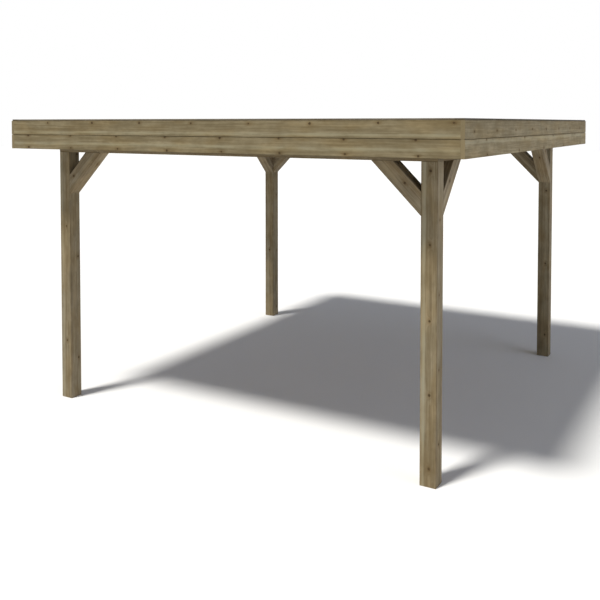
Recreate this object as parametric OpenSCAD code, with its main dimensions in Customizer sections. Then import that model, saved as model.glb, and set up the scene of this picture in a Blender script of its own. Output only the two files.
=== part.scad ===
// Garden pergola: a free-standing timber frame with a flat, boarded roof.
//
// Four square posts carry a ring of beams, stiffened by eight 45 degree braces.
// Rafters run front to back over the beams. Outriggers carry the left and right
// overhangs. A rim closes the roof frame, two boards a side face it, and a thin
// cap covers the top edge of the boards and the kerb behind them.
//
// Millimetres. X runs left to right, Y front to back, Z up from the ground.
// The origin is on the ground, under the middle of the roof.

/* [Overall] */
// Length of the roof from left to right, over the fascia boards
roof_length = 4000; // [3000:50:6000]
// Depth of the roof from front to back, over the fascia boards
roof_depth = 4000; // [3000:50:6000]
// Height from the ground to the top of the cap
overall_height = 2440; // [2100:10:3000]

/* [Posts and beams] */
// Side of the square posts, which is also the width of the beams and braces
post_size = 115; // [90:5:160]
// How far the roof runs out past the posts at the left and right
side_overhang = 272; // [150:2:450]
// How far the roof runs out past the posts at the front and back
front_overhang = 282; // [150:2:450]
// Height of the beams
beam_height = 115; // [90:5:200]
// How far the beams show below the fascia boards
beam_reveal = 34; // [0:1:80]

/* [Braces] */
// Depth of a brace, square to its length
brace_depth = 115; // [70:5:140]
// How far a brace reaches along the post and along the beam
brace_leg = 360; // [300:2:600]

/* [Roof frame] */
// Thickness of rafters, outriggers and rim
joist_thickness = 45; // [36:1:70]
// Depth of the notch where a rafter or outrigger sits over a beam
notch_depth = 50; // [20:5:60]
// Number of rafters
rafter_count = 5; // [3:1:9]
// Number of outriggers on each side
outrigger_count = 7; // [3:1:9]
// Clear distance from the front and back beams to the nearest outrigger
outrigger_margin = 85; // [20:5:200]

/* [Fascia and cap] */
// Height of one fascia board
board_height = 118; // [95:1:145]
// Thickness of a fascia board
board_thickness = 28; // [16:1:32]
// Thickness of the cap
cap_thickness = 12; // [8:1:20]
// Distance from the face of the fascia to the edge of the cap
cap_setback = 5; // [0:1:10]

/* [Roof skin] */
// Thickness of the roof boards
deck_thickness = 18; // [15:1:24]
// Height of the kerb that stands on the roof boards
kerb_height = 25; // [18:1:40]
// Width of the kerb
kerb_width = 40; // [30:1:60]
// Thickness of the waterproof sheet
membrane_thickness = 3; // [1:1:6]

/* [Hidden] */
SIDES = ["front", "back", "left", "right"];
// Turn that takes a piece drawn along the front to each of the sides
TURNS = [0, 180, -90, 90];
CORNERS = ["front_left", "front_right", "back_left", "back_right"];

// Heights, from the cap downwards
fascia_top = overall_height - cap_thickness;
board_seam = fascia_top - board_height;
fascia_bottom = board_seam - board_height;
post_height = fascia_bottom - beam_reveal;
beam_top = post_height + beam_height;
rafter_bottom = beam_top - notch_depth;
deck_top = fascia_top - kerb_height;
rafter_top = deck_top - deck_thickness;
rafter_height = rafter_top - rafter_bottom;

// Half sizes of the nested outlines, as [half length, half depth]
function inset(size, d) = [size[0] - d, size[1] - d];
roof_half = [roof_length / 2, roof_depth / 2];
rim_half = inset(roof_half, board_thickness);
rim_inner_half = inset(rim_half, joist_thickness);
kerb_inner_half = inset(rim_half, kerb_width);
cap_half = inset(roof_half, cap_setback);
frame_half = [roof_half[0] - side_overhang, roof_half[1] - front_overhang];
frame_inner_half = inset(frame_half, post_size);

// Rafters share the clear length between the left and right beams
rafter_pitch = 2 * frame_inner_half[0] / (rafter_count + 1);
rafter_x = [for (i = [1 : rafter_count]) i * rafter_pitch - frame_inner_half[0]];
last_rafter_face = rafter_x[rafter_count - 1] + joist_thickness / 2;
outrigger_reach = frame_inner_half[1] - outrigger_margin - joist_thickness / 2;
outrigger_y = [for (i = [0 : outrigger_count - 1])
    outrigger_reach * (2 * i / (outrigger_count - 1) - 1)];

function side_number(side) = search([side], SIDES)[0];
function is_left(side) = side == "left";
function x_sign(corner) = corner == "front_left" || corner == "back_left" ? -1 : 1;
function y_sign(corner) = corner == "front_left" || corner == "front_right" ? -1 : 1;

post_colour = [0.50, 0.44, 0.34];
beam_colour = [0.47, 0.42, 0.32];
brace_colour = [0.45, 0.40, 0.31];
joist_colour = [0.55, 0.49, 0.38];
deck_colour = [0.60, 0.54, 0.42];
fascia_colour = [0.50, 0.45, 0.35];
cap_colour = [0.42, 0.38, 0.31];
membrane_colour = [0.20, 0.21, 0.22];

// A strip along one side of the roof. It lies between the outlines `outer` and
// `inner`, from `low` to `high`. A strip that runs through reaches its outer
// corners, and the others butt between two that run through.
module edge_strip(side, outer, inner, low, high, runs_through) {
    along_x = side == "front" || side == "back";
    reach = runs_through ? outer : inner;
    half_length = along_x ? reach[0] : reach[1];
    width = outer[0] - inner[0];
    edge = along_x ? outer[1] : outer[0];
    rotate([0, 0, TURNS[side_number(side)]])
        translate([-half_length, -edge, low])
            cube([2 * half_length, width, high - low]);
}

module post(corner) {
    color(post_colour)
        translate([x_sign(corner) * (frame_half[0] - post_size / 2) - post_size / 2,
                   y_sign(corner) * (frame_half[1] - post_size / 2) - post_size / 2, 0])
            cube([post_size, post_size, post_height]);
}

// The beams reach the outer faces of the posts and are halved over each other:
// the front and back beams keep the lower half, the side beams the upper half.
module beam(side) {
    along_x = side == "front" || side == "back";
    reach = along_x ? frame_half[0] : frame_half[1];
    edge = along_x ? frame_half[1] : frame_half[0];
    lap_height = beam_height / 2;
    lap_bottom = along_x ? post_height + lap_height : post_height;
    color(beam_colour)
        rotate([0, 0, TURNS[side_number(side)]])
            difference() {
                translate([-reach, -edge, post_height])
                    cube([2 * reach, post_size, beam_height]);
                for (end = [-reach, reach - post_size])
                    translate([end, -edge, lap_bottom])
                        cube([post_size, post_size, lap_height]);
            }
}

// A brace in its own plane: x runs from the post along the beam, y is height
// below the beam.
module brace_outline() {
    short_leg = brace_leg - brace_depth * sqrt(2);
    polygon([[0, -brace_leg], [brace_leg, 0], [short_leg, 0], [0, -short_leg]]);
}

module brace_at_origin() {
    rotate([90, 0, 0])
        linear_extrude(post_size)
            brace_outline();
}

// From the post inwards along the front or back beam
module cross_brace(corner) {
    color(brace_colour)
        at_corner(corner)
            translate([-frame_inner_half[0], -frame_inner_half[1], post_height])
                brace_at_origin();
}

// From the post inwards along the left or right beam
module side_brace(corner) {
    color(brace_colour)
        at_corner(corner)
            translate([-frame_half[0], -frame_inner_half[1], post_height])
                rotate([0, 0, 90])
                    brace_at_origin();
}

// Takes a piece drawn for the front left corner to another corner
module at_corner(corner) {
    mirror([x_sign(corner) > 0 ? 1 : 0, 0, 0])
        mirror([0, y_sign(corner) > 0 ? 1 : 0, 0])
            children();
}

module rafter(i) {
    color(joist_colour)
        difference() {
            translate([rafter_x[i] - joist_thickness / 2, -rim_inner_half[1], rafter_bottom])
                cube([joist_thickness, 2 * rim_inner_half[1], rafter_height]);
            for (end = [-1, 1])
                translate([rafter_x[i] - joist_thickness,
                           end * (frame_half[1] - post_size / 2) - post_size / 2,
                           rafter_bottom - notch_depth])
                    cube([2 * joist_thickness, post_size, 2 * notch_depth]);
        }
}

module outriggers(side) {
    out_length = rim_inner_half[0] - last_rafter_face;
    color(joist_colour)
        mirror([is_left(side) ? 1 : 0, 0, 0])
            for (y = outrigger_y)
                difference() {
                    translate([last_rafter_face, y - joist_thickness / 2, rafter_bottom])
                        cube([out_length, joist_thickness, rafter_height]);
                    translate([frame_inner_half[0], y - joist_thickness,
                               rafter_bottom - notch_depth])
                        cube([post_size, 2 * joist_thickness, 2 * notch_depth]);
                }
}

module rim(side) {
    color(joist_colour)
        edge_strip(side, rim_half, rim_inner_half, rafter_bottom, rafter_top,
                   side == "front" || side == "back");
}

module roof_deck() {
    color(deck_colour)
        translate([-rim_half[0], -rim_half[1], rafter_top])
            cube([2 * rim_half[0], 2 * rim_half[1], deck_thickness]);
}

module roof_membrane() {
    color(membrane_colour)
        translate([-kerb_inner_half[0], -kerb_inner_half[1], deck_top])
            cube([2 * kerb_inner_half[0], 2 * kerb_inner_half[1], membrane_thickness]);
}

module kerbs(sides, runs_through) {
    color(joist_colour)
        for (side = sides)
            edge_strip(side, rim_half, kerb_inner_half, deck_top, fascia_top, runs_through);
}

// The left and right boards run through, so their ends show at the front
module fascia(side, low) {
    color(fascia_colour)
        edge_strip(side, roof_half, rim_half, low, low + board_height,
                   side == "left" || side == "right");
}

module cap(side) {
    color(cap_colour)
        edge_strip(side, cap_half, kerb_inner_half, fascia_top, overall_height,
                   side == "left" || side == "right");
}

for (c = CORNERS) {
    post(c);
    cross_brace(c);
    side_brace(c);
}
for (s = SIDES) {
    beam(s);
    rim(s);
    fascia(s, fascia_bottom);
    fascia(s, board_seam);
    cap(s);
}
for (i = [0 : rafter_count - 1])
    rafter(i);
for (s = ["left", "right"])
    outriggers(s);
roof_deck();
roof_membrane();
kerbs(["front", "back"], true);  // front_and_back_kerbs
kerbs(["left", "right"], false);  // left_and_right_kerbs
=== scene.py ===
# %% [markdown]
# # A garden pergola in planed timber
#
# Four square posts, a ring of beams, eight braces and a flat boarded roof behind a deep fascia.
# The CAD model gives every timber its size and place. This lesson gives them their looks: rounded
# edges, wood figure that runs through the solid, knots, roof boards, a roof sheet and soft light.

# %% Load the frame
import math
import bmesh
import bpy
import numpy as np
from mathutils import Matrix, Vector


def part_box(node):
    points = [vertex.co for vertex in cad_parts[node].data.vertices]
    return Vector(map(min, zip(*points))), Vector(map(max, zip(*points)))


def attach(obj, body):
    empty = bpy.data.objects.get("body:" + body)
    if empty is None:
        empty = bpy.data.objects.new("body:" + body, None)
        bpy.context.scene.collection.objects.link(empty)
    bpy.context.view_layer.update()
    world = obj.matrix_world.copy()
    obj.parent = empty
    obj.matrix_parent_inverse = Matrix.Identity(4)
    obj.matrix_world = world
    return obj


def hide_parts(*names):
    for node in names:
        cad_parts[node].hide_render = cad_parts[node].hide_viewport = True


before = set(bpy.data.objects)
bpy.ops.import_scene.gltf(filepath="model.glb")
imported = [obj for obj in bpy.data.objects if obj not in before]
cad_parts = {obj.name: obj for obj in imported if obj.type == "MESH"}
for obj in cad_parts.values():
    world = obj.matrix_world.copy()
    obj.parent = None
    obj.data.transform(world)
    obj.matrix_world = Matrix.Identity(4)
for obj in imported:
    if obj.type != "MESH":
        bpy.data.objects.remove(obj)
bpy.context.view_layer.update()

# %% [markdown]
# ## Camera
#
# The viewer stands off the right front corner with the eye level at the top of the roof. A lens
# that points straight ahead keeps upright posts upright, and shifting the frame down brings the
# feet in. The shift also moves the object in every other view, so most of the drop is shift and a
# small part is a downward tilt.

# %% Set the camera
camera = bpy.data.objects.new("camera", bpy.data.cameras.new("camera"))
bpy.context.scene.collection.objects.link(camera)
STAND_POINT = (3.452, -6.477, 2.412)
DOWNWARD_TILT = 2.03
TURN_LEFT = 30.08
LENS_LENGTH = 46.17
SENSOR_WIDTH = 36
DROP_OF_FRAME = -0.25
camera.location = STAND_POINT
camera.rotation_euler = (math.radians(90 - DOWNWARD_TILT), 0, math.radians(TURN_LEFT))
camera.data.sensor_width = SENSOR_WIDTH
camera.data.lens = LENS_LENGTH
camera.data.shift_y = DROP_OF_FRAME
bpy.context.scene.camera = camera
print("camera at", STAND_POINT, "with a lens of", LENS_LENGTH, "mm")

# %% [markdown]
# ## Daylight
#
# A high sun gives the solid shadow of the roof, with an edge softened by its wide disc. An area
# lamp could do the same, but its light would fall off across a roof of this size. A broad cool
# lamp from the right keeps the right side as light as the front, and only just reaches the floor
# because it stands low.

# %% Sun and fill
def sun_lamp(name, direction, strength, disc_degrees, colour):
    """A lamp at infinity whose light travels along a direction"""
    lamp = bpy.data.lights.new(name, "SUN")
    lamp.energy = strength
    lamp.angle = math.radians(disc_degrees)
    lamp.color = colour
    holder = bpy.data.objects.new(name, lamp)
    holder.rotation_euler = Vector(direction).to_track_quat("-Z", "Y").to_euler()
    bpy.context.scene.collection.objects.link(holder)
    print(name, "strength", strength)


SUN_HEIGHT = math.radians(64)
SUN_TURN = math.radians(23)
SUN_STRENGTH = 3.4
SUN_DISC = 10
SUN_COLOUR = (1.0, 0.98, 0.93)
FILL_DIRECTION = (-0.96, 0.10, -0.08)
FILL_STRENGTH = 1.72
FILL_DISC = 60
FILL_COLOUR = (0.70, 0.77, 1.0)
sun_direction = (
    math.cos(SUN_HEIGHT) * math.sin(SUN_TURN),
    math.cos(SUN_HEIGHT) * math.cos(SUN_TURN),
    -math.sin(SUN_HEIGHT),
)
sun_lamp("sun", sun_direction, SUN_STRENGTH, SUN_DISC, SUN_COLOUR)
sun_lamp("cool_fill", FILL_DIRECTION, FILL_STRENGTH, FILL_DISC, FILL_COLOUR)

# %% [markdown]
# ## Sky
#
# An even white sky lights the shaded faces. It could be one white background, but then it would
# be either too weak to look white or too strong as a light. So the white of the background shows
# to the camera, in gloss and through glass, while all other light from the sky is much weaker.

# %% Set the sky
SKY_STRENGTH = 0.21
SKY_COLOUR = (0.97, 0.985, 1.0, 1)
world = bpy.data.worlds.new("white_sky")
bpy.context.scene.world = world
world.use_nodes = True
sky = world.node_tree
sky.nodes.clear()
sky_out = sky.nodes.new("ShaderNodeOutputWorld")
seen = sky.nodes.new("ShaderNodeBackground")
seen.inputs["Color"].default_value = (1, 1, 1, 1)
lighting = sky.nodes.new("ShaderNodeBackground")
lighting.inputs["Color"].default_value = SKY_COLOUR
lighting.inputs["Strength"].default_value = SKY_STRENGTH
either = sky.nodes.new("ShaderNodeMixShader")
rays = sky.nodes.new("ShaderNodeLightPath")
sees_white = rays.outputs["Is Camera Ray"]
for kind in ("Is Glossy Ray", "Is Transmission Ray"):
    larger = sky.nodes.new("ShaderNodeMath")
    larger.operation = "MAXIMUM"
    sky.links.new(sees_white, larger.inputs[0])
    sky.links.new(rays.outputs[kind], larger.inputs[1])
    sees_white = larger.outputs[0]
sky.links.new(sees_white, either.inputs[0])
sky.links.new(lighting.outputs[0], either.inputs[1])
sky.links.new(seen.outputs[0], either.inputs[2])
sky.links.new(either.outputs[0], sky_out.inputs[0])
bpy.context.scene.view_settings.view_transform = "Standard"
print("sky strength", SKY_STRENGTH)

# %% [markdown]
# ## Floor
#
# The floor is only there to take the shadow. Its pale grey is bright enough in the sun to come
# out white, and it stays grey where the roof keeps the light off.

# %% Lay the floor
FLOOR_REACH = 60
FLOOR_GREY = 0.90
floor_mesh = bpy.data.meshes.new("floor")
floor_mesh.from_pydata(
    [(x * FLOOR_REACH, y * FLOOR_REACH, 0) for x, y in ((-1, -1), (1, -1), (1, 1), (-1, 1))],
    [],
    [(0, 1, 2, 3)],
)
floor = bpy.data.objects.new("floor", floor_mesh)
bpy.context.scene.collection.objects.link(floor)
floor_paint = bpy.data.materials.new("floor_paint")
floor_paint.use_nodes = True
floor_shader = floor_paint.node_tree.nodes["Principled BSDF"]
floor_shader.inputs["Base Color"].default_value = (FLOOR_GREY, FLOOR_GREY, FLOOR_GREY, 1)
floor_shader.inputs["Roughness"].default_value = 1.0
floor_shader.inputs["Specular IOR Level"].default_value = 0.0
floor_mesh.materials.append(floor_paint)
print("floor", 2 * FLOOR_REACH, "m square")

# %% [markdown]
# ## Sums made of nodes
#
# Wood that runs through the solid takes many small sums. A node's output is wrapped so that it
# can be added and multiplied like a plain number, and every sum lays the node that does it.

# %% Numbers that lay nodes
class Number:
    """A node's output that takes part in sums"""

    def __init__(self, bench, socket):
        self.bench = bench
        self.socket = socket

    def __add__(self, other):
        return self.bench.calc("ADD", self, other)

    def __sub__(self, other):
        return self.bench.calc("SUBTRACT", self, other)

    def __mul__(self, other):
        return self.bench.calc("MULTIPLY", self, other)

    def __truediv__(self, other):
        return self.bench.calc("DIVIDE", self, other)

    def __pow__(self, other):
        return self.bench.calc("POWER", self, other)

    def __abs__(self):
        return self.bench.calc("ABSOLUTE", self)


print("numbers ready")


# %% The bench that lays and joins the nodes
class Bench:
    """Lays shader nodes on a material and joins them"""

    def __init__(self, name):
        self.material = bpy.data.materials.new(name)
        self.material.use_nodes = True
        self.tree = self.material.node_tree
        self.shader = self.tree.nodes["Principled BSDF"]

    def feed(self, socket, value):
        if isinstance(value, Number):
            value = value.socket
        if isinstance(value, bpy.types.NodeSocket):
            self.tree.links.new(value, socket)
        else:
            socket.default_value = value

    def lay(self, kind, settings=(), **inputs):
        node = self.tree.nodes.new(kind)
        for name, value in dict(settings).items():
            setattr(node, name, value)
        for name, value in inputs.items():
            self.feed(node.inputs[name.replace("_", " ")], value)
        return node

    def calc(self, operation, *values):
        node = self.lay("ShaderNodeMath", {"operation": operation})
        for socket, value in zip(node.inputs, values):
            self.feed(socket, value)
        return Number(self, node.outputs[0])

    def point(self, x=0.0, y=0.0, z=0.0):
        return self.lay("ShaderNodeCombineXYZ", X=x, Y=y, Z=z).outputs[0]

    def parts(self, vector):
        split = self.lay("ShaderNodeSeparateXYZ", Vector=vector)
        return [Number(self, output) for output in split.outputs]

    def noise(self, x=0.0, y=0.0, z=0.0, detail=2.0):
        """A soft random pattern, with lumps about as large as 1 in each direction"""
        place = self.point(x, y, z)
        node = self.lay("ShaderNodeTexNoise", Vector=place, Scale=1.0, Detail=detail)
        return Number(self, node.outputs[0])

    def noises(self, x=0.0, y=0.0, z=0.0):
        """Three noises that have nothing to do with each other"""
        node = self.lay("ShaderNodeTexNoise", Vector=self.point(x, y, z), Scale=1.0, Detail=1.0)
        return self.parts(node.outputs["Color"])

    def ramp(self, value, low, high, to_low=0.0, to_high=1.0):
        """A soft step between two levels"""
        node = self.lay("ShaderNodeMapRange", {"interpolation_type": "SMOOTHSTEP"}, Value=value)
        for name, level in zip(("From Min", "From Max", "To Min", "To Max"),
                               (low, high, to_low, to_high)):
            node.inputs[name].default_value = level
        return Number(self, node.outputs[0])

    def bell(self, distance, width):
        """1 at no distance, falling off smoothly over a width"""
        ratio = distance / width
        return self.calc("EXPONENT", ratio * ratio * -1.0)

    def blend(self, factor, a, b, kind="MIX"):
        node = self.lay("ShaderNodeMix", {"data_type": "RGBA", "blend_type": kind})
        for socket, value in zip((node.inputs[0], node.inputs[6], node.inputs[7]), (factor, a, b)):
            self.feed(socket, value)
        return node.outputs[2]

    def stored(self, name):
        """The three numbers that a mesh stores under a name"""
        return self.parts(self.attribute(name).outputs["Vector"])

    def attribute(self, name):
        return self.lay("ShaderNodeAttribute", {"attribute_name": name})

    def relief(self, height, depth, strength):
        """Small bumps in the light, from a pattern of heights"""
        node = self.lay("ShaderNodeBump", Height=height, Strength=strength, Distance=depth)
        self.feed(self.shader.inputs["Normal"], node.outputs[0])


def rgba(red, green, blue):
    return (red, green, blue, 1.0)


print("bench ready")

# %% [markdown]
# ## Where the grain runs
#
# Every timber carries its own coordinates: along the grain, across its face and into its depth.
# They are stored on the mesh with a few facts about this piece of wood: which tree it came from
# (a seed), where the heart of the tree lies, where its knots and its pale streak are. One finish
# can then serve every timber, and no two look alike.

# %% The facts of one piece of wood
FAR_AWAY = 9.0
NO_KNOTS = (0.0, FAR_AWAY, 0.5)


def wood(seed, heart=(0.12, -0.10), knots=None, more_knots=None, turned=0.0, streak=None,
         light=1.0):
    """Knots are (first, level, pitch), the streak is (level, width, strength), in metres.

    The second row of knots lies on the same faces as the first, or on the others if turned is 1.
    """
    return {
        "tree": (seed, *heart),
        "knots": knots or NO_KNOTS,
        "more_knots": more_knots or NO_KNOTS,
        "streak": streak or (FAR_AWAY, 0.01, 0.0),
        "traits": (turned, light, 0.0),
    }


print("wood facts:", list(wood(1.0)))

# %% [markdown]
# ## Storing the facts
#
# Some nodes hold several timbers in one mesh, such as a row of outriggers. The facts could be
# shader settings, but then every timber would need a material of its own. Stored on the points of
# the mesh, they let one material draw all of them, so each loose part of a mesh is found and
# marked.

# %% Store the facts on a mesh
FACES_THE_GRAIN = 0.6


def loose_parts(mesh):
    """A number for each vertex, the same for all vertices of one solid"""
    shape = bmesh.new()
    shape.from_mesh(mesh)
    part_of = np.full(len(shape.verts), -1)
    count = 0
    for start in shape.verts:
        if part_of[start.index] >= 0:
            continue
        front = [start]
        part_of[start.index] = count
        while front:
            for edge in front.pop().link_edges:
                for vert in edge.verts:
                    if part_of[vert.index] < 0:
                        part_of[vert.index] = count
                        front.append(vert)
        count += 1
    shape.free()
    return part_of, count


def mark_timber(mesh, along, across, facts):
    """Stores grain coordinates, half sizes and wood facts for each solid of a mesh"""
    points = np.empty(len(mesh.vertices) * 3, "f")
    mesh.vertices.foreach_get("co", points)
    axes = np.array([along, across, np.cross(along, across)], "f")
    local = points.reshape(-1, 3) @ axes.T
    part_of, count = loose_parts(mesh)
    rows = {name: np.empty_like(local) for name in ("grain", "half", *facts[0])}
    for part in range(count):
        own = part_of == part
        low, high = local[own].min(axis=0), local[own].max(axis=0)
        rows["grain"][own] = local[own] - (low + high) / 2
        rows["half"][own] = (high - low) / 2
        for name, value in facts[part % len(facts)].items():
            rows[name][own] = value
    for name, values in rows.items():
        stored = mesh.attributes.new(name, "FLOAT_VECTOR", "POINT")
        stored.data.foreach_set("vector", values.ravel())
    is_end = [abs(face.normal.dot(Vector(along))) > FACES_THE_GRAIN for face in mesh.polygons]
    ends = mesh.attributes.new("end_grain", "FLOAT", "FACE")
    ends.data.foreach_set("value", np.asarray(is_end, "f"))


print("marking ready")

# %% [markdown]
# ## Dressing a timber
#
# Planed timber has small rounded edges, and they catch the light and draw the fine dark line
# where two pieces meet. A copy of the CAD solid is cleaned of its triangles and its outer edges
# are rounded with a bevel. Inner corners, such as a notch, stay sharp.

# %% Round the edges of a CAD timber
ROUNDING = {"post_timber": 0.004, "beam_timber": 0.004, "brace_timber": 0.003,
            "roof_timber": 0.002, "fascia_boards": 0.0025, "cap_timber": 0.0025}
END_SHARE = 0.35
SHARP_ANGLE = math.radians(30)
FLAT_ANGLE = math.radians(1)
WELD_DISTANCE = 1e-5
RUNS_ALONG = 0.99


def cleaned_copy(node):
    """The CAD node's shape as a bmesh with whole faces in place of triangles"""
    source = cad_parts[node]
    solid = bmesh.new()
    solid.from_mesh(source.data)
    bmesh.ops.transform(solid, matrix=source.matrix_world, verts=solid.verts)
    bmesh.ops.remove_doubles(solid, verts=solid.verts, dist=WELD_DISTANCE)
    bmesh.ops.dissolve_limit(solid, angle_limit=FLAT_ANGLE, verts=solid.verts,
                             edges=solid.edges)
    bmesh.ops.recalc_face_normals(solid, faces=solid.faces)
    return solid


def swept_bar(solid, axis, start, end, outline):
    """A straight bar along X (axis 0) or Y (axis 1), with an outline of (across, height) points"""
    rings = []
    for s in (start, end):
        places = [(s, across, z) if axis == 0 else (across, s, z) for across, z in outline]
        rings.append([solid.verts.new(place) for place in places])
    for i in range(len(outline)):
        j = (i + 1) % len(outline)
        solid.faces.new((rings[0][i], rings[1][i], rings[1][j], rings[0][j]))
    solid.faces.new(rings[0])
    solid.faces.new(rings[1][::-1])
    bmesh.ops.recalc_face_normals(solid, faces=solid.faces)


def round_edges(solid, along, radius):
    """Rounds the long outer edges fully, then the edges of the sawn ends a little"""
    for is_long, share in ((True, 1.0), (False, END_SHARE)):
        sharp = []
        for edge in solid.edges:
            if not edge.is_convex or edge.calc_face_angle(0) < SHARP_ANGLE:
                continue
            run = (edge.verts[1].co - edge.verts[0].co).normalized()
            if (abs(run.dot(Vector(along))) > RUNS_ALONG) == is_long:
                sharp.append(edge)
        bmesh.ops.bevel(solid, geom=sharp, offset=radius * share, segments=3, profile=0.5,
                        affect="EDGES", clamp_overlap=True)


def finish_piece(name, solid, node, slot):
    """Turns a bmesh into a piece that stands for a CAD node"""
    mesh = bpy.data.meshes.new(name)
    solid.to_mesh(mesh)
    solid.free()
    mesh.shade_smooth()
    piece = bpy.data.objects.new(name, mesh)
    bpy.context.scene.collection.objects.link(piece)
    normals = piece.modifiers.new("even_faces", "WEIGHTED_NORMAL")
    normals.keep_sharp = True
    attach(piece, "root")
    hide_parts(node)
    mesh.materials.append(finishes[slot])
    return piece


def timber(node, along, across, facts, slot, solid=None):
    """A CAD timber, or a shape that stands for it, with rounded edges and its own wood"""
    solid = solid or cleaned_copy(node)
    round_edges(solid, along, ROUNDING[slot])
    piece = finish_piece(node + "_timber", solid, node, slot)
    mark_timber(piece.data, along, across, facts if isinstance(facts, list) else [facts])
    return piece


print("dressing tools ready")

# %% [markdown]
# ## Knots
#
# A softwood trunk grows a ring of branches every half metre or so, and a sawn timber cuts through
# them as a row of small dark knots at one level. The grain swells around each knot because the
# knot pushes the rings aside, and a brown stain surrounds it.

# %% Knots
KNOT_RADIUS = 0.0074
SMALLEST_KNOT = 0.75
KNOT_SPREAD = 0.55
STRAY_ALONG = 0.016
STRAY_ACROSS = 0.006
STAIN_REACH = (0.026, 0.013)
PUSH_REACH = (0.035, 0.020)


def knot_row(bench, along, height, row, seed):
    """One row of knots: its dark cores, its brown stains, and how far the grain is pushed aside"""
    first, level, pitch = row
    from_first = along - first
    number = bench.calc("ROUND", from_first / pitch)
    chance = bench.lay("ShaderNodeTexWhiteNoise", {"noise_dimensions": "2D"},
                       Vector=bench.point(number, seed))
    luck = bench.parts(chance.outputs["Color"])
    to_knot = from_first - number * pitch + luck[0] * STRAY_ALONG - STRAY_ALONG / 2
    off_level = height - level + luck[1] * STRAY_ACROSS - STRAY_ACROSS / 2
    size = luck[2] * KNOT_SPREAD + SMALLEST_KNOT
    distance = (to_knot * to_knot + off_level * off_level) ** 0.5 / size
    core = bench.ramp(distance, KNOT_RADIUS * 0.6, KNOT_RADIUS * 1.45, 1.0, 0.0)
    stain = bench.bell(to_knot, STAIN_REACH[0]) * bench.bell(off_level, STAIN_REACH[1])
    push = bench.bell(to_knot, PUSH_REACH[0]) * bench.bell(off_level, PUSH_REACH[1])
    return core, stain, push


print("knot rows ready")

# %% [markdown]
# ## The wood finish
#
# Treated softwood is greenish brown with pale streaks, growth rings and small dark knots. The
# rings are distances from the heart of the tree, so they run true round every edge and show as
# arcs on the ends. Edges are darkened a little with painted shade.

# %% Layers of the figure
HEART_SWAY = 0.036
RING_PUSH = 0.007


def distance_to_edge(bench, place, half):
    """On a long face one of the two distances is zero, so the larger one is to the edge"""
    return bench.calc("MAXIMUM", half[1] - abs(place[1]), half[2] - abs(place[2]))


def growth_rings(bench, place, heart, push, sway):
    """Distance from the heart of the tree, wandering a little along the trunk"""
    from_v = place[1] - heart[0] + sway[0] * HEART_SWAY - HEART_SWAY / 2
    from_w = place[2] - heart[1] + sway[1] * HEART_SWAY - HEART_SWAY / 2
    return (from_v * from_v + from_w * from_w) ** 0.5 + push * RING_PUSH


print("figure layers ready")

# %% [markdown]
# ## The softwood finish
#
# The layers are added to one tone, from dark to pale, and the tone picks the colour. Mixing a
# colour for each layer would also work, but then every new wood would need a dozen colours. Noise
# is drawn out along the grain: each scale below is how many lumps fit in a metre, along and
# across.

# %% The softwood finish
STREAKS = (3.2, 95.0)
FIBRES = (14.0, 520.0)
MOTTLE = (26.0, 60.0)
PATCHES = (3.6, 12.0)
CLOUDS = (7.5, 11.0)
BROAD_RINGS = 70.0
SHARE = {"streaks": 0.62, "late_wood": -0.26, "fibres": 0.16, "mottle": 0.20,
         "pale_streak": 0.36, "clouds": 0.42}
STREAK_SWAY = 0.008
MATT_SPECULAR = 0.16
GRAIN_DEPTH = 0.0008
GRAIN_STRENGTH = 0.4
RING_WIDTH = 0.0045
BROWN_STAIN = rgba(0.62, 0.50, 0.34)
# colour of the painted shade along the edges
PAINTED_EDGE_SHADE = rgba(0.50, 0.48, 0.44)
KNOT = rgba(0.040, 0.024, 0.011)
WARM = rgba(1.01, 0.945, 0.83)
GREY = rgba(0.92, 0.99, 1.06)


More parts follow.
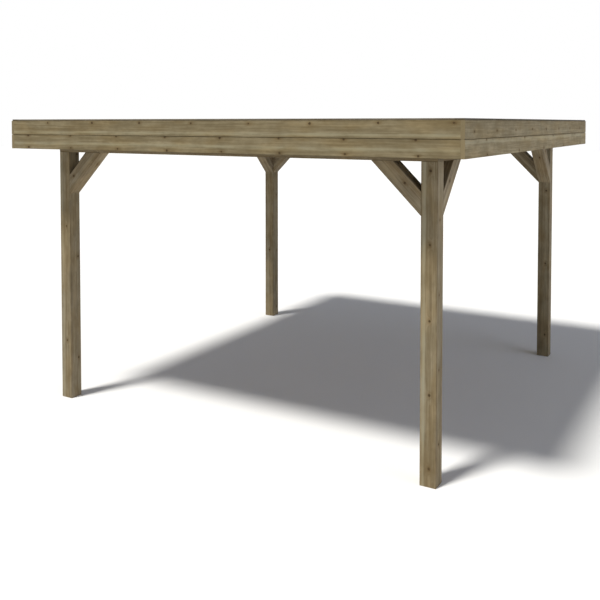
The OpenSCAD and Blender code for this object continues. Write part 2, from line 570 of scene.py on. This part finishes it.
def softwood(name, pale, dark, end_colour, rings=0.5, roughness=0.78, edge_shade=0.75):
    """A finish for planed softwood, from the facts stored on each timber"""
    bench = Bench(name)
    place = bench.stored("grain")
    u, v, w = place
    seed, *heart = bench.stored("tree")
    turned, light = bench.stored("traits")[:2]
    away = seed * 3.7

    def layer(scale, detail=2.0):
        along, across = scale
        return bench.noise(u * along + away, v * across, w * across, detail)

    first = knot_row(bench, u, v, bench.stored("knots"), seed)
    other_side = v + (w - v) * turned
    second = knot_row(bench, u, other_side, bench.stored("more_knots"), seed + 5.5)
    core, stain, push = (bench.calc("MAXIMUM", a, b) for a, b in zip(first, second))

    sway = bench.noises(u * 0.9 + away, away)
    radius = growth_rings(bench, place, heart, push, sway)
    late_wood = bench.calc("FRACT", radius / RING_WIDTH) ** 3.0
    broad = bench.noise(radius * BROAD_RINGS, away, u * 1.1)
    streaks = layer(STREAKS, 3.0)
    fibres = bench.noise(u * FIBRES[0], v * FIBRES[1] + away, w * FIBRES[1])
    mottle, patches, clouds = layer(MOTTLE), layer(PATCHES), layer(CLOUDS)

    level, width, strength = bench.stored("streak")
    off_streak = v - level + sway[2] * STREAK_SWAY - STREAK_SWAY / 2
    pulse = bench.ramp(bench.noise(u * 3.4 + away), 0.32, 0.62, 0.35, 1.0)
    pale_streak = bench.bell(off_streak, width) * strength * pulse

    tone = broad * rings + streaks * SHARE["streaks"]
    tone = tone + late_wood * (rings * SHARE["late_wood"]) + fibres * SHARE["fibres"]
    tone = tone + mottle * SHARE["mottle"] + pale_streak * SHARE["pale_streak"]
    tone = tone + (clouds - 0.5) * SHARE["clouds"]
    lightness = bench.ramp(tone, 0.30 + rings * 0.30, 0.92 + rings * 0.50)
    colour = bench.blend(lightness, dark, pale)
    colour = bench.blend(bench.ramp(patches, 0.40, 0.66, 0.0, 0.8), colour, WARM, "MULTIPLY")
    colour = bench.blend(pale_streak, colour, GREY, "MULTIPLY")
    colour = bench.blend(stain * 0.75, colour, BROWN_STAIN, "MULTIPLY")
    colour = bench.blend(core * 0.88, colour, KNOT)

    end_tone = bench.blend(late_wood * 0.35, end_colour, dark)
    colour = bench.blend(bench.attribute("end_grain").outputs["Fac"], colour, end_tone)
    # Painted shade: the colour is darkened within a few millimetres of the long edges
    edge = distance_to_edge(bench, place, bench.stored("half"))
    painted_edge_shade = bench.ramp(edge + mottle * 0.003, 0.0015, 0.0060, edge_shade, 0.0)
    colour = bench.blend(painted_edge_shade, colour, PAINTED_EDGE_SHADE, "MULTIPLY")
    colour = bench.blend(1.0, colour, bench.point(light, light, light), "MULTIPLY")

    bench.feed(bench.shader.inputs["Base Color"], colour)
    bench.shader.inputs["Roughness"].default_value = roughness
    bench.shader.inputs["Specular IOR Level"].default_value = MATT_SPECULAR
    height = fibres * 0.5 + late_wood * 0.3 + streaks * 0.4 + core * -0.6
    bench.relief(height, GRAIN_DEPTH, GRAIN_STRENGTH)
    print(name, len(bench.tree.nodes), "nodes")
    return bench.material


# %% [markdown]
# ## Finishes
#
# Posts, beams, braces and boards come from the same yard, so they share one recipe with small
# differences: the fascia is the cleanest, the cap has weathered darker, and the roof boards,
# which never see the sun, are the warmest.

# %% Mix the wood finishes
SAWN_END = rgba(0.150, 0.118, 0.070)
finishes = {
    "post_timber": softwood("post_timber", rgba(0.320, 0.267, 0.174),
                            rgba(0.155, 0.120, 0.067), SAWN_END),
    "beam_timber": softwood("beam_timber", rgba(0.315, 0.258, 0.165),
                            rgba(0.147, 0.112, 0.062), SAWN_END),
    "brace_timber": softwood("brace_timber", rgba(0.330, 0.272, 0.178),
                             rgba(0.154, 0.117, 0.068), SAWN_END),
    "roof_timber": softwood("roof_timber", rgba(0.330, 0.270, 0.172),
                            rgba(0.160, 0.120, 0.068), SAWN_END),
    "roof_boards": softwood("roof_boards", rgba(0.310, 0.248, 0.152),
                            rgba(0.150, 0.110, 0.060), SAWN_END, 0.7),
    "fascia_boards": softwood("fascia_boards", rgba(0.297, 0.248, 0.150),
                              rgba(0.144, 0.113, 0.060), rgba(0.197, 0.156, 0.086), 0.35),
    "cap_timber": softwood("cap_timber", rgba(0.225, 0.196, 0.143),
                           rgba(0.098, 0.082, 0.058), SAWN_END, 0.5, 0.85, 0.2),
}

# %% [markdown]
# ## Posts
#
# Each post is sawn with the heart of the tree inside it, as square posts are, so all four faces
# show figure. On the front right post the knots sit half a metre apart near the middle of the
# front face, and a pale streak runs down near its left edge.

# %% Make the posts
UP = (0, 0, 1)
RIGHT = (1, 0, 0)
BACK = (0, 1, 0)
CORNERS = ("front_left", "front_right", "back_left", "back_right")
post_middle = sum(corner[2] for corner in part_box("front_left_post")) / 2


def post_wood(seed, heart, knots, side_knots, streak, light=1.0):
    """Wood facts of a post, with the first knot of each row given as a height above the ground"""
    rows = [(first - post_middle, level, pitch) for first, level, pitch in (knots, side_knots)]
    return wood(seed, heart, rows[0], rows[1], 1.0, streak, light)


post_facts = {
    "front_left": post_wood(1.3, (0.022, 0.010), (0.51, 0.012, 1.0), (0.34, 0.030, 0.9),
                            (-0.034, 0.014, 0.8), 0.96),
    "front_right": post_wood(2.6, (0.012, 0.016), (0.121, 0.009, 0.496), (0.283, -0.012, 0.495),
                             (-0.033, 0.011, 1.5)),
    "back_left": post_wood(3.9, (-0.010, 0.020), (0.83, 0.004, 1.2), (0.11, 0.015, 0.7),
                           (-0.020, 0.014, 0.7)),
    "back_right": post_wood(5.2, (0.018, -0.012), (0.22, 0.020, 0.75), (0.31, 0.0, 0.5),
                            (0.026, 0.014, 0.6), 0.89),
}
posts = [
    timber(corner + "_post", UP, RIGHT, post_facts[corner], "post_timber")
    for corner in CORNERS
]
print(len(posts), "posts")

# %% [markdown]
# ## Beams
#
# The beams meet on the post tops, each halved to let the other in. Their CAD shapes already have
# the half-laps, so they only need rounded edges and wood.

# %% Make the beams
ALONG = {"front": RIGHT, "back": RIGHT, "left": BACK, "right": BACK}
SIDES = tuple(ALONG)
beams = [
    timber(side + "_beam", ALONG[side], UP,
           wood(6.1 + 1.7 * i, (0.03, 0.02), (0.2 + 0.07 * i, 0.01, 0.62), (0.1, 0.02, 0.7), 1.0,
                (0.02, 0.012, 0.6)), "beam_timber")
    for i, side in enumerate(SIDES)
]
print(len(beams), "beams")

# %% [markdown]
# ## Braces
#
# The braces are cut at 45 degrees from the same stock as the posts, so they lie flush with them.
# The grain has to run along the slope, so each brace is marked with its own directions.

# %% Make the braces
def brace_directions(corner, kind):
    """Along a brace, from the post up to the beam, and across it in its own plane"""
    inwards = Vector((1 if "left" in corner else -1, 0, 0))
    if kind == "side":
        inwards = Vector((0, 1 if "front" in corner else -1, 0))
    rise = (Vector(UP) + inwards).normalized()
    return tuple(rise), tuple((Vector(UP) - inwards).normalized())


braces = []
for i, corner in enumerate(CORNERS):
    for kind in ("cross", "side"):
        along, across = brace_directions(corner, kind)
        seed = 11.3 + 2.3 * len(braces)
        facts = wood(seed, (0.02, -0.03), (0.08 * i - 0.1, 0.014, 0.55), (0.12, -0.01, 0.5), 1.0,
                     (-0.012, 0.016, 0.7))
        braces.append(timber(f"{corner}_{kind}_brace", along, across, facts, "brace_timber"))
print(len(braces), "braces")

# %% [markdown]
# ## Fascia
#
# Two planed boards a side, one above the other. A small rebate along the foot of the upper board
# leaves a narrow groove between them, which shows as a dark line. A gap between the boards would
# be simpler, but daylight would show through it. The upper board has a row of small knots near
# its top edge and a pale streak near its lower edge. The lower board has its streak in the middle
# and knots at both edges. The side boards run through, so their pale sawn ends close the front
# corners.

# %% Make the fascia boards
REBATE_HEIGHT = 0.003
REBATE_DEPTH = 0.008
upper_knots = {"front": (-0.060, 0.040, 0.498), "back": (0.13, 0.038, 0.498),
               "left": (0.21, -0.010, 0.495), "right": (-0.325, -0.010, 0.497)}
lower_knots = {"front": (0.205, -0.045, 0.498), "back": (0.27, -0.044, 0.498),
               "left": (0.05, 0.030, 0.498), "right": (0.43, 0.052, 0.995)}
seam_knots = {"front": (0.190, 0.054, 0.497), "back": (0.02, 0.052, 0.75),
              "left": (0.31, -0.048, 0.62), "right": (0.08, -0.046, 0.81)}
upper_streak = {"front": (-0.034, 0.012, 1.0), "back": (-0.030, 0.012, 0.9),
                "left": (-0.020, 0.015, 0.3), "right": (-0.030, 0.014, 0.3)}
lower_streak = {"front": (-0.009, 0.0135, 1.0), "back": (-0.012, 0.013, 0.9),
                "left": (0.040, 0.013, 0.8), "right": (0.040, 0.012, 0.9)}
lower_light = {"front": 1.0, "back": 1.0, "left": 1.1, "right": 1.13}
fascia = []


def fascia_board(node, side, rebate, facts):
    """A board swept along its side, with a rebate along the foot of its outer face"""
    low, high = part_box(node)
    axis = 0 if side in ("front", "back") else 1
    outer, inner = low[1 - axis], high[1 - axis]
    if side in ("back", "right"):
        outer, inner = inner, outer
    step = outer + math.copysign(REBATE_DEPTH, inner - outer)
    outline = [(outer, low[2] + rebate), (outer, high[2]), (inner, high[2]), (inner, low[2])]
    if rebate:
        outline += [(step, low[2]), (step, low[2] + rebate)]
    solid = bmesh.new()
    swept_bar(solid, axis, low[axis], high[axis], outline)
    fascia.append(timber(node, ALONG[side], UP, facts, "fascia_boards", solid))


for i, side in enumerate(SIDES):
    fascia_board(side + "_upper_fascia", side, REBATE_HEIGHT,
                 wood(31.7 + 3.1 * i, (0.13, -0.13), upper_knots[side],
                      streak=upper_streak[side]))
    fascia_board(side + "_lower_fascia", side, 0.0,
                 wood(47.9 + 3.7 * i, (-0.12, -0.15), lower_knots[side], seam_knots[side],
                      streak=lower_streak[side], light=lower_light[side]))
print(len(fascia), "fascia boards")

# %% [markdown]
# ## Roof frame
#
# Seen only from below: rafters notched over the beams, outriggers for the two side overhangs, the
# rim that closes them and the kerb on top. They are sawn thinner, and a smaller rounding suits
# them.

# %% Make the roof frame
RAFTER_COUNT = 5
OUTRIGGER_COUNT = 7
KERB_COUNT = 2
roof_frame = []


def roof_timber(node, along, seed, count=1):
    """A roof timber, or a CAD node that holds several of them, each with its own wood"""
    facts = [
        wood(s, (0.05, -0.05), (s * 0.13 % 0.6, 0.02, 0.66), (0.2, 0.0, 0.8), 1.0,
             (0.0, 0.02, 0.5), 0.92 + 0.16 * (s * 0.37 % 1))
        for s in (seed + 1.9 * i for i in range(count))
    ]
    roof_frame.append(timber(node, along, UP, facts, "roof_timber"))


for i in range(RAFTER_COUNT):
    roof_timber(f"rafter_{i + 1}", BACK, 61.0 + 2.9 * i)
for i, side in enumerate(SIDES):
    roof_timber(side + "_rim", ALONG[side], 79.0 + 3.3 * i)
roof_timber("left_outriggers", RIGHT, 95.0, OUTRIGGER_COUNT)
roof_timber("right_outriggers", RIGHT, 99.7, OUTRIGGER_COUNT)
roof_timber("front_and_back_kerbs", RIGHT, 107.0, KERB_COUNT)
roof_timber("left_and_right_kerbs", BACK, 113.0, KERB_COUNT)
print(len(roof_frame), "roof frame pieces")

# %% [markdown]
# ## Cap
#
# A thin strip lies over the top edge of the fascia and the kerb. It takes all the rain, so it is
# the darkest and greyest wood on the object. The strips on the left and right are made darker
# than those on the front and back.

# %% Make the cap
CAP_LIGHT = {"front": 1.05, "back": 1.05, "left": 0.65, "right": 0.65}
caps = []
for i, side in enumerate(SIDES):
    across = BACK if side in ("front", "back") else RIGHT
    facts = wood(121.0 + 5.3 * i, (0.0, -0.2), (0.3, 0.01, 0.9), light=CAP_LIGHT[side])
    caps.append(timber(side + "_cap", ALONG[side], across, facts, "cap_timber"))
print(len(caps), "caps")

# %% [markdown]
# ## Roof boards
#
# From below the roof shows tongued and grooved boards with a small V at every joint. They run
# from left to right across the rafters. Each board is the same profile swept along its length,
# and all of them are built in one mesh, each with its own piece of wood.

# %% Make the roof boards
deck_low, deck_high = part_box("roof_deck")
BOARD_COUNT = 33
board_width = (deck_high[1] - deck_low[1]) / BOARD_COUNT
V_DEPTH = 0.004
boards = bmesh.new()
board_woods = []
for number in range(BOARD_COUNT):
    front = deck_low[1] + number * board_width
    back = front + board_width
    low, high = deck_low[2], deck_high[2]
    outline = [(front + V_DEPTH, low), (back - V_DEPTH, low), (back, low + V_DEPTH),
               (back, high), (front, high), (front, low + V_DEPTH)]
    swept_bar(boards, 0, deck_low[0], deck_high[0], outline)
    seed = 140.0 + 1.37 * number
    board_woods.append(wood(seed, (0.04, -0.10 - seed % 0.07),
                            (seed % 0.9, seed % 0.05 - 0.025, 0.8), None, 0.0,
                            (seed % 0.06 - 0.03, 0.014, 0.6), 0.88 + 0.24 * (seed * 0.61 % 1)))
roof_deck = finish_piece("roof_deck_boards", boards, "roof_deck", "roof_boards")
roof_deck.data.shade_flat()
mark_timber(roof_deck.data, RIGHT, BACK, board_woods)
print("roof boards", BOARD_COUNT, "each", round(board_width, 3), "m wide")

# %% [markdown]
# ## Roof sheet
#
# The boards are covered with strips of rubber sheet, glued down and lapped over each other, and
# turned up along the kerb. The sheet is a thin grid that steps up over each lap, which gives the
# long soft ridges that show from above.

# %% Shape the roof sheet
sheet_low, sheet_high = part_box("roof_membrane")
STRIP_COUNT = 4
LAP = 0.09
LAP_STEP = 0.004
LAP_RAMP = 0.003
COVE = 0.018
COVE_STEPS = (0.0, 0.001, 0.002, 0.004, 0.007, 0.011, 0.015, COVE)
WAVINESS = 0.0008
EVEN_LINES = 40
strip_width = (sheet_high[0] - sheet_low[0]) / STRIP_COUNT
kerb_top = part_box("front_and_back_kerbs")[1][2]
laps = [sheet_low[0] + strip_width * i for i in range(1, STRIP_COUNT)]


def sheet_height(x, y):
    """Top of the sheet: nearly flat, with a ridge at each lap and a cove up to the kerb"""
    height = sheet_high[2] + WAVINESS * math.sin(3.1 * x + 1.7 * y) * math.sin(2.3 * y)
    for lap in laps:
        into_lap = min(x - lap, lap + LAP - x)
        height += LAP_STEP * min(1.0, max(0.0, into_lap / LAP_RAMP))
    edge = min(x - sheet_low[0], sheet_high[0] - x, y - sheet_low[1], sheet_high[1] - y)
    into_cove = max(0.0, 1 - edge / COVE)
    rise = kerb_top - sheet_high[2] - 0.001
    return height + rise * (1 - math.sqrt(max(0.0, 1 - into_cove**2)))


def grid_lines(low, high, joints):
    """Evenly spaced grid lines, with closer ones at the turned-up edges and at the laps"""
    lines = {round(float(x), 4) for x in np.linspace(low, high, EVEN_LINES)}
    for step in COVE_STEPS:
        lines |= {round(low + step, 4), round(high - step, 4)}
    for joint in joints:
        lines |= {round(joint + step, 4) for step in (0.0, LAP_RAMP, LAP - LAP_RAMP, LAP)}
    return sorted(lines)


xs = grid_lines(sheet_low[0], sheet_high[0], laps)
ys = grid_lines(sheet_low[1], sheet_high[1], [])
print("roof sheet grid", len(xs), "by", len(ys))

# %% [markdown]
# ## Rubber finish
#
# Rubber sheet is charcoal and matt. Each strip comes from another roll and has its own tone, the
# edges of the laps show as dark lines of sealant, and dust dries in faint clouds and along the
# kerb. The position in space drives it all, because the sheet never moves and lies flat.

# %% Mix the rubber finish
RUBBER_DARK = rgba(0.030, 0.031, 0.033)
RUBBER_PALE = rgba(0.075, 0.077, 0.080)
DRY_DUST = rgba(0.160, 0.155, 0.140)
SEALANT = rgba(0.012, 0.012, 0.013)
SEAL_WIDTH = 0.006
SEAL_INSET = 0.0015
DUST_BAND = 0.10
RUBBER_ROUGHNESS = 0.80
RUBBER_SPECULAR = 0.3
SURFACE_DEPTH = 0.0012
SURFACE_STRENGTH = 0.4


def rubber_finish():
    """Charcoal rubber in strips, with dark sealed laps and faint clouds of dust"""
    bench = Bench("roof_sheet")
    place = bench.lay("ShaderNodeNewGeometry").outputs["Position"]
    x, y, z = bench.parts(place)
    across = (x - sheet_low[0]) / strip_width
    strip = bench.calc("FLOOR", across)
    tone = bench.lay("ShaderNodeTexWhiteNoise", {"noise_dimensions": "1D"}, W=strip + 3.0)
    grit = bench.noise(x * 420.0, y * 420.0, z * 420.0)
    rolled = bench.noise(x * 30.0, y * 1.2, 0.0, 3.0)
    dust = bench.noise(x * 1.7, y * 1.7, 0.0, 5.0)
    lightness = Number(bench, tone.outputs["Value"]) * 0.25 + rolled * 0.6 + (grit - 0.5) * 0.3
    colour = bench.blend(bench.ramp(lightness, 0.1, 0.95), RUBBER_DARK, RUBBER_PALE)
    from_side = bench.calc("MINIMUM", (abs(x) - sheet_high[0]) * -1.0,
                           (abs(y) - sheet_high[1]) * -1.0)
    along_kerb = bench.bell(from_side, DUST_BAND) * 0.5
    cover = bench.ramp(dust + along_kerb * 0.35, 0.50, 0.95, 0.0, 0.40)
    colour = bench.blend(cover, colour, DRY_DUST)
    in_strip = (across - strip) * strip_width
    seal = bench.calc("MAXIMUM", bench.bell(in_strip - SEAL_INSET, SEAL_WIDTH),
                      bench.bell(in_strip - (LAP - SEAL_INSET), SEAL_WIDTH))
    inside = bench.ramp(x, sheet_low[0] + 0.3, sheet_low[0] + 0.4)
    colour = bench.blend(seal * inside * 0.85, colour, SEALANT)
    bench.feed(bench.shader.inputs["Base Color"], colour)
    bench.shader.inputs["Roughness"].default_value = RUBBER_ROUGHNESS
    bench.shader.inputs["Specular IOR Level"].default_value = RUBBER_SPECULAR
    bench.relief(grit * 0.5 + rolled * 0.5, SURFACE_DEPTH, SURFACE_STRENGTH)
    return bench.material


finishes["roof_sheet"] = rubber_finish()
print("rubber ready")

# %% [markdown]
# ## Laying the sheet
#
# A modifier could thicken a single layer of faces, but then the underside would follow the
# ridges. Here the top and the bottom are two grids, the bottom one flat on the boards, and strips
# of faces close the four sides.

# %% Lay the roof sheet
sheet = bmesh.new()
top = [[sheet.verts.new((x, y, sheet_height(x, y))) for y in ys] for x in xs]
bottom = [[sheet.verts.new((x, y, sheet_low[2])) for y in ys] for x in xs]
for i in range(len(xs) - 1):
    for j in range(len(ys) - 1):
        sheet.faces.new((top[i][j], top[i + 1][j], top[i + 1][j + 1], top[i][j + 1]))
        sheet.faces.new((bottom[i][j + 1], bottom[i + 1][j + 1], bottom[i + 1][j], bottom[i][j]))
sides = [(top[0], bottom[0]), (bottom[-1], top[-1]),
         ([row[0] for row in bottom], [row[0] for row in top]),
         ([row[-1] for row in top], [row[-1] for row in bottom])]
for upper, lower in sides:
    for i in range(len(upper) - 1):
        sheet.faces.new((upper[i], upper[i + 1], lower[i + 1], lower[i]))
bmesh.ops.recalc_face_normals(sheet, faces=sheet.faces)
roof_sheet = finish_piece("roof_rubber_sheet", sheet, "roof_membrane", "roof_sheet")
print("roof sheet", len(roof_sheet.data.polygons), "faces")
